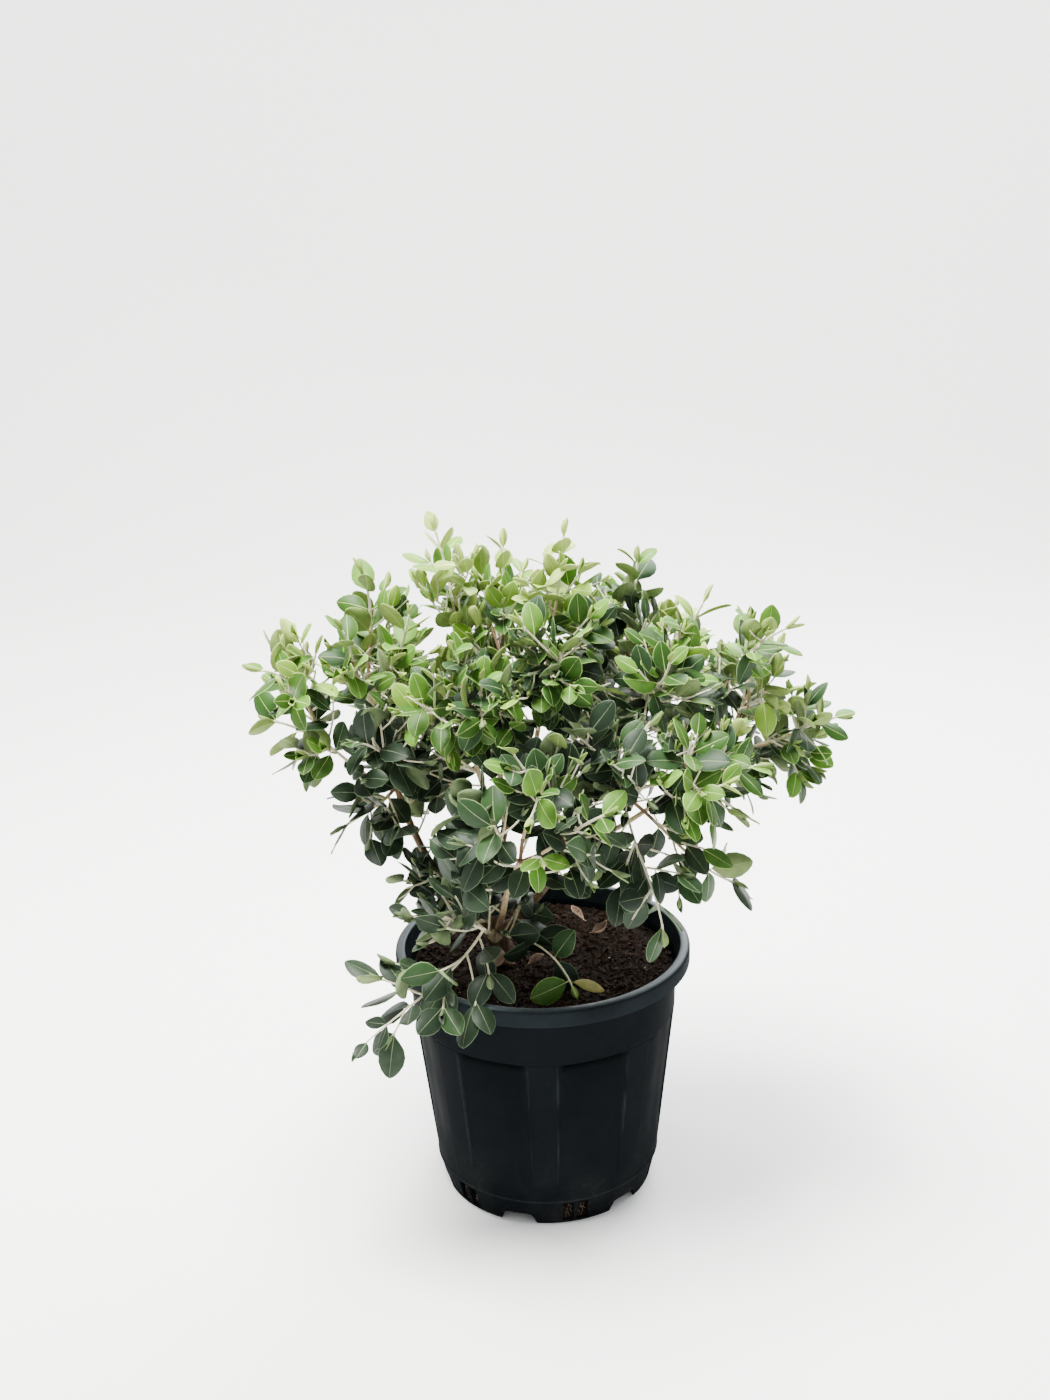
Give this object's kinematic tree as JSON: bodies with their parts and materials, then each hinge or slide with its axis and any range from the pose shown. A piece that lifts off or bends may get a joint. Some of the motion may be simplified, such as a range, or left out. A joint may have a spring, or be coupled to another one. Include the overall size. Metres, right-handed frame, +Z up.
{
  "type": "potted pohutukawa shrub",
  "caption": "Bushy young pohutukawa out of flower, many leafy stems forking from a short leaning trunk, in a black ribbed nursery pot filled with bark mix",
  "frame": {"origin": "the middle of the pot's flat underside, level with the foot it stands on", "axes": "+Z is up, -Y is the side seen in the picture and +X is to the right in it"},
  "size_m": [0.6739, 0.4778, 0.7662],
  "materials": {
    "pot": "satin black moulded plastic",
    "soil": "loose damp bark potting mix",
    "bark": "dull young bark",
    "leaves": "leathery leaves, glossy above and pale felted below"
  },
  "bodies": {
    "root": {"pot": "pot", "soil": "soil", "trunk": "bark", "bough_back_left": "bark", "bough_back_right": "bark", "bough_centre": "bark", "bough_centre_left": "bark", "bough_centre_main": "bark", "bough_centre_right": "bark", "bough_front": "bark", "bough_front_left": "bark", "bough_left_arm": "bark", "bough_left_lower": "bark", "bough_left_upper": "bark", "bough_right_far": "bark", "bough_right_front": "bark", "bough_right_lower": "bark", "bough_right_main": "bark", "bough_right_upper": "bark", "leaves_back_left": "leaves", "leaves_back_middle": "leaves", "leaves_back_right": "leaves", "leaves_back_top": "leaves", "leaves_centre_front": "leaves", "leaves_centre_pale": "leaves", "leaves_front_big": "leaves", "leaves_front_lime": "leaves", "leaves_front_right": "leaves", "leaves_front_upper": "leaves", "leaves_left_crown": "leaves", "leaves_left_dark": "leaves", "leaves_left_hang": "leaves", "leaves_left_inner": "leaves", "leaves_left_low": "leaves", "leaves_left_peak": "leaves", "leaves_left_shoulder": "leaves", "leaves_left_tip": "leaves", "leaves_low_left": "leaves", "leaves_mid_front": "leaves", "leaves_mid_left": "leaves", "leaves_right_crown": "leaves", "leaves_right_droop": "leaves", "leaves_right_face": "leaves", "leaves_right_flank": "leaves", "leaves_right_front": "leaves", "leaves_right_hang": "leaves", "leaves_right_high": "leaves", "leaves_right_mid": "leaves", "leaves_right_shoulder": "leaves", "leaves_right_tip": "leaves", "leaves_right_under": "leaves", "leaves_right_wing": "leaves", "leaves_soil_sprig": "leaves", "leaves_sprawl_lower": "leaves", "leaves_sprawl_upper": "leaves", "leaves_top_back": "leaves", "leaves_top_centre": "leaves", "leaves_top_left": "leaves", "leaves_top_middle": "leaves", "leaves_top_right": "leaves"}
  },
  "joints": []
}
